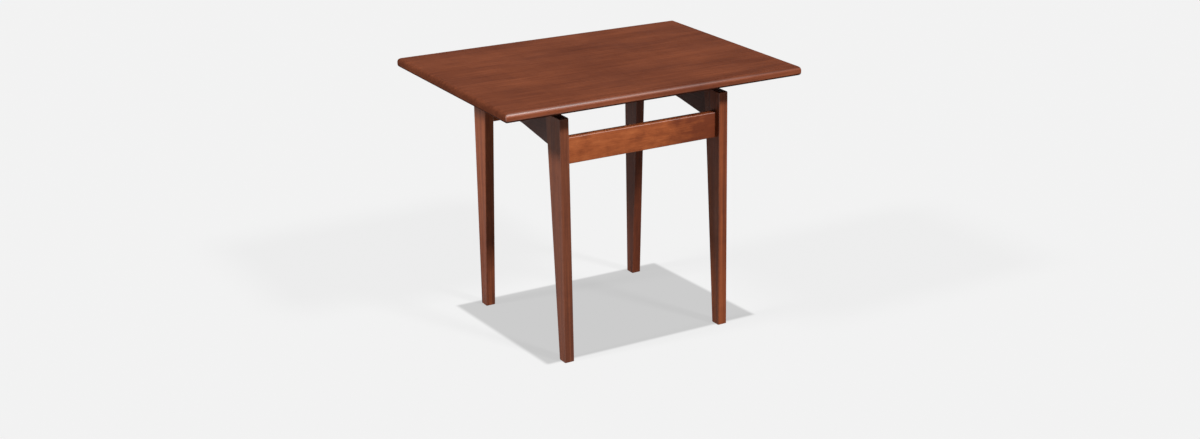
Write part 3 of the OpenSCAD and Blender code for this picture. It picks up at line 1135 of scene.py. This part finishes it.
@dataclass(frozen=True)
class TableFinishes:
    """The finish of each board of the table. The boards come from one batch, and differ as boards do."""

    def boards(self) -> dict[str, Finish]:
        """Gives the finish for each solid's name."""
        kinds = ((corners("leg"), self._leg), (corners("spacer"), self._spacer),
                 (("side_rail_left", "side_rail_right"), self._side_rail),
                 (("front_rail", "back_rail"), self._cross_rail))
        found: dict[str, Finish] = {name: finish(name, number) for names, finish in kinds
                                    for number, name in enumerate(names)}
        found.update(dict.fromkeys(corners("screw"), Brass()), tabletop=self._top())
        return found

    @staticmethod
    def _top() -> Timber:
        """The wide board of the top, the calmest and the reddest."""
        # On the top, faces that look front or back are painted lighter, faces that look down get painted
        # shade, the coat weakens to the right as a painted highlight, and the tone slope is partly painted
        # fall-off of light.
        return Timber("tabletop_timber", srgb(0x703c28), srgb(0x542a1d), srgb(0x864a31), Grain.WIDTH,
                      (0.31, 0.07, 0.0), ring_share=0.16, streak_share=0.72,
                      streak_scale=(7.0, 190.0, 190.0), blotch_share=0.65, blotch_scale=(5.0, 15.0, 15.0),
                      fade=(-0.12, -0.05, 0.0), end_share=0.1, worn_share=0.0, painted_underside_shade=0.85,
                      painted_facing_gain=(1.08, 1.9), shine=0.04, roughness=0.75, polish_share=1.0,
                      polish_ior=2.15, polish_roughness=0.42, painted_highlight_reach=(-0.33, 0.36))

    @staticmethod
    def _leg(name: str, number: int) -> Timber:
        """A leg, with its fibres upright."""
        # The last column scales the faces that look along X: painted shade on the right legs' inner faces.
        body, dark, pale, lift, fade, shine, x_face_painted_gain = (
            (srgb(0x79412a), srgb(0x552a1c), srgb(0x935336), -0.06, 0.25, 0.3, 1.0),
            (srgb(0x984e2b), srgb(0x68321d), srgb(0xb66237), 0.0, -0.15, 0.28, 0.86),
            (srgb(0x8e4b2f), srgb(0x623120), srgb(0xac5f3b), -0.14, 0.66, 0.22, 1.0),
            (srgb(0x69331f), srgb(0x472216), srgb(0x814228), 0.04, -0.15, 0.2, 0.92))[number]
        return Timber(f"{name}_timber", body, dark, pale, Grain.HEIGHT,
                      (1.7 + 0.9 * number, 0.4 * number, 0.3 * number), heart=(0.2, -0.3),
                      streak_share=0.7, blotch_share=0.2, lift=lift, fade=(0.0, 0.0, fade),
                      painted_facing_gain=(x_face_painted_gain, 1.0), shine=shine)

    @staticmethod
    def _side_rail(name: str, number: int) -> Timber:
        """A side rail, a little darker than the legs."""
        return Timber(f"{name}_timber", srgb(0x59342a), srgb(0x3d221c), srgb(0x6e4335), Grain.DEPTH,
                      (5.2 + number, 0.2 * number, 0.1), heart=(0.25, -0.2))

    @staticmethod
    def _cross_rail(name: str, number: int) -> Timber:
        """A cross rail, the palest board, with a soft mottled figure and painted shade towards its right
        end.
        """
        return Timber(f"{name}_timber", srgb(0xb66136), srgb(0x7f3d23), srgb(0xd17847),
                      Grain.WIDTH, (7.3 + number, 0.5, 0.2), heart=(-0.4, -0.1), ring_share=0.1,
                      streak_share=0.25, blotch_share=0.6, blotch_scale=(32.0, 60.0, 60.0), painted_end_shade=0.31,
                      painted_end_shade_span=(0.02, 0.15), polish_share=0.85, polish_roughness=0.42)

    @staticmethod
    def _spacer(name: str, number: int) -> Timber:
        """A spacer, turned from a dark offcut."""
        return Timber(f"{name}_timber", srgb(0x603626), srgb(0x402218), srgb(0x7a4832), Grain.HEIGHT,
                      (9.1 + number, 0.3, 0.1))


@dataclass(frozen=True)
class PhotoView:
    """The camera of the photograph, fitted to the table's straight edges.

    Pixels count in the photograph's own frame, from its upper left corner.
    """

    azimuth: float = -33.571
    elevation: float = 18.283
    roll: float = 0.407
    distance: float = 3.82958
    aside: float = -0.28939
    lower: float = 0.01463
    focal_px: float = 1731.26
    centre_px: Span = (731.1, 183.7)
    frame_px: tuple[int, int] = (1200, 439)
    sensor_mm: float = 36.0
    sight: Span = (0.05, 100.0)
    target: Triple = (0.0, 0.0, 292.1 * MM)

    def place(self) -> None:
        """Makes the scene's camera."""
        turn, rise, tilt = (math.radians(angle) for angle in (self.azimuth, self.elevation, self.roll))
        data = bpy.data.cameras.new("photo_camera")
        camera = bpy.data.objects.new("photo_camera", data)
        bpy.context.scene.collection.objects.link(camera)
        camera.matrix_world = (
            Matrix.Translation(self.target) @ Matrix.Rotation(turn, 4, "Z")
            @ Matrix.Rotation(math.pi / 2 - rise, 4, "X") @ Matrix.Rotation(tilt, 4, "Z")
            @ Matrix.Translation((-self.aside, self.lower, self.distance)))
        width, height = self.frame_px
        data.sensor_width = self.sensor_mm
        data.lens = self.focal_px * self.sensor_mm / width
        data.shift_x = (width / 2 - self.centre_px[0]) / width
        data.shift_y = (self.centre_px[1] - height / 2) / width
        data.clip_start, data.clip_end = self.sight
        bpy.context.scene.camera = camera


@dataclass(frozen=True)
class Softbox:
    """A soft lamp so far away that its light falls evenly on the whole table.

    Its breadth is the angle that it fills as seen from the table, which sets how soft the shadows are.
    """

    name: str
    towards: Triple
    strength: float
    breadth_deg: float = 8.0

    def place(self) -> None:
        """Sets the lamp up."""
        data = bpy.data.lights.new(self.name, "SUN")
        data.energy, data.angle = self.strength, math.radians(self.breadth_deg)
        lamp = bpy.data.objects.new(self.name, data)
        bpy.context.scene.collection.objects.link(lamp)
        lamp.location = self.towards
        lamp.rotation_euler = Vector(self.towards).to_track_quat("Z", "Y").to_euler()


@dataclass(frozen=True)
class Studio:
    """Pale floor, pale surroundings and soft light.

    The floor throws back less light than it shows, and glows a little so that it stays pale in the
    lamps' shadows. Straight under the table it has a soft even shade, a skewed rectangle.
    """

    pale: Colour = srgb(0xf2f2f2)
    ambient: float = 0.12
    floor_reach: float = 40.0
    floor_colour: float = 0.86
    floor_bounce: float = 0.16
    floor_glow: float = 0.9
    shade_middle: Span = (12.6 * MM, 11.1 * MM)
    shade_half: Span = (260.4 * MM, 200.4 * MM)
    shade_skew: Span = (0.055, 0.0155)
    shade_soft: float = 7.0 * MM
    shade_depth: float = 0.32
    lamps: tuple[Softbox, ...] = (
        Softbox("front_softbox", (0.39, -1.0, 0.9), 2.5),
        Softbox("left_softbox", (-1.0, 0.07, 0.785), 2.15),
    )

    def build(self) -> None:
        """Sets up the floor, the surroundings and the lamps."""
        scene = bpy.context.scene
        scene.view_settings.view_transform = "Standard"
        self._floor()
        self._surroundings(scene)
        for lamp in self.lamps:
            lamp.place()

    @staticmethod
    def _seen_directly(wire: Wiring) -> Signal:
        """Gives 1 for rays from the camera, a reflection or clear glass, and 0 for scattered light."""
        node = wire.node("ShaderNodeLightPath", {}).socket.node
        camera, glossy, glass = (Signal(wire, node.outputs[name]) for name in
                                 ("Is Camera Ray", "Is Glossy Ray", "Is Transmission Ray"))
        return (camera + glossy + glass).clamp()

    def _floor(self) -> None:
        """Lays the floor."""
        clear()
        bpy.ops.mesh.primitive_plane_add(size=2 * self.floor_reach, location=(0, 0, 0))
        floor = settle("studio_floor")
        made = bpy.data.materials.new("studio_floor")
        wire = Wiring(made)
        seen = self._seen_directly(wire)
        shown = wire.blend(seen, grey(self.floor_bounce), grey(self.floor_colour))
        matt = wire.node("ShaderNodeBsdfDiffuse", {"Color": shown})
        glow = wire.node("ShaderNodeEmission", {"Color": self.pale, "Strength": 1.0})
        lit = wire.node("ShaderNodeMixShader", {0: self.floor_glow * seen, 1: matt, 2: glow})
        dark = wire.node("ShaderNodeBsdfDiffuse", {"Color": grey(0.0)})
        wire.finish(wire.node("ShaderNodeMixShader", {0: self._shade(wire) * seen, 1: lit, 2: dark}))
        floor.data.materials.append(made)

    def _shade(self, wire: Wiring) -> Signal:
        """Gives the depth of the shade at each place of the floor."""
        along_x, along_y, _ = wire.split(wire.place())
        skew_x, skew_y = self.shade_skew
        places = (along_x + skew_x * along_y, along_y + skew_y * along_x)
        depth: Number = self.shade_depth
        for place, centre, half in zip(places, self.shade_middle, self.shade_half):
            depth = depth * (1.0 - abs(place - centre).step(half - self.shade_soft, half + self.shade_soft))
        return depth

    def _surroundings(self, scene: bpy.types.Scene) -> None:
        """Makes the world pale where it is seen and dimmer where it only lights the table."""
        scene.world = bpy.data.worlds.new("studio")
        wire = Wiring(scene.world)
        light = wire.node("ShaderNodeBackground", {"Color": grey(1.0), "Strength": self.ambient})
        seen = wire.node("ShaderNodeBackground", {"Color": self.pale, "Strength": 1.0})
        mixed = wire.node("ShaderNodeMixShader", {0: self._seen_directly(wire), 1: light, 2: seen})
        wire.finish(mixed, "ShaderNodeOutputWorld")


def main() -> None:
    """Builds and dresses the table, then sets up the studio round it."""
    logging.basicConfig(level=logging.INFO)
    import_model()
    PhotoView().place()

    top, end_frames, cross_rails = FloatingTop(), EndFrames(), CrossRails()
    spacers, screws = Spacers(), Screws()
    top.build()
    end_frames.build(cross_rails.mortise())
    cross_rails.build()
    spacers.build()
    screws.build()

    finishes = TableFinishes().boards()
    for part in (top, end_frames, cross_rails, spacers, screws):
        part.dress(finishes)
    Studio().build()


if __name__ == "__main__":
    main()
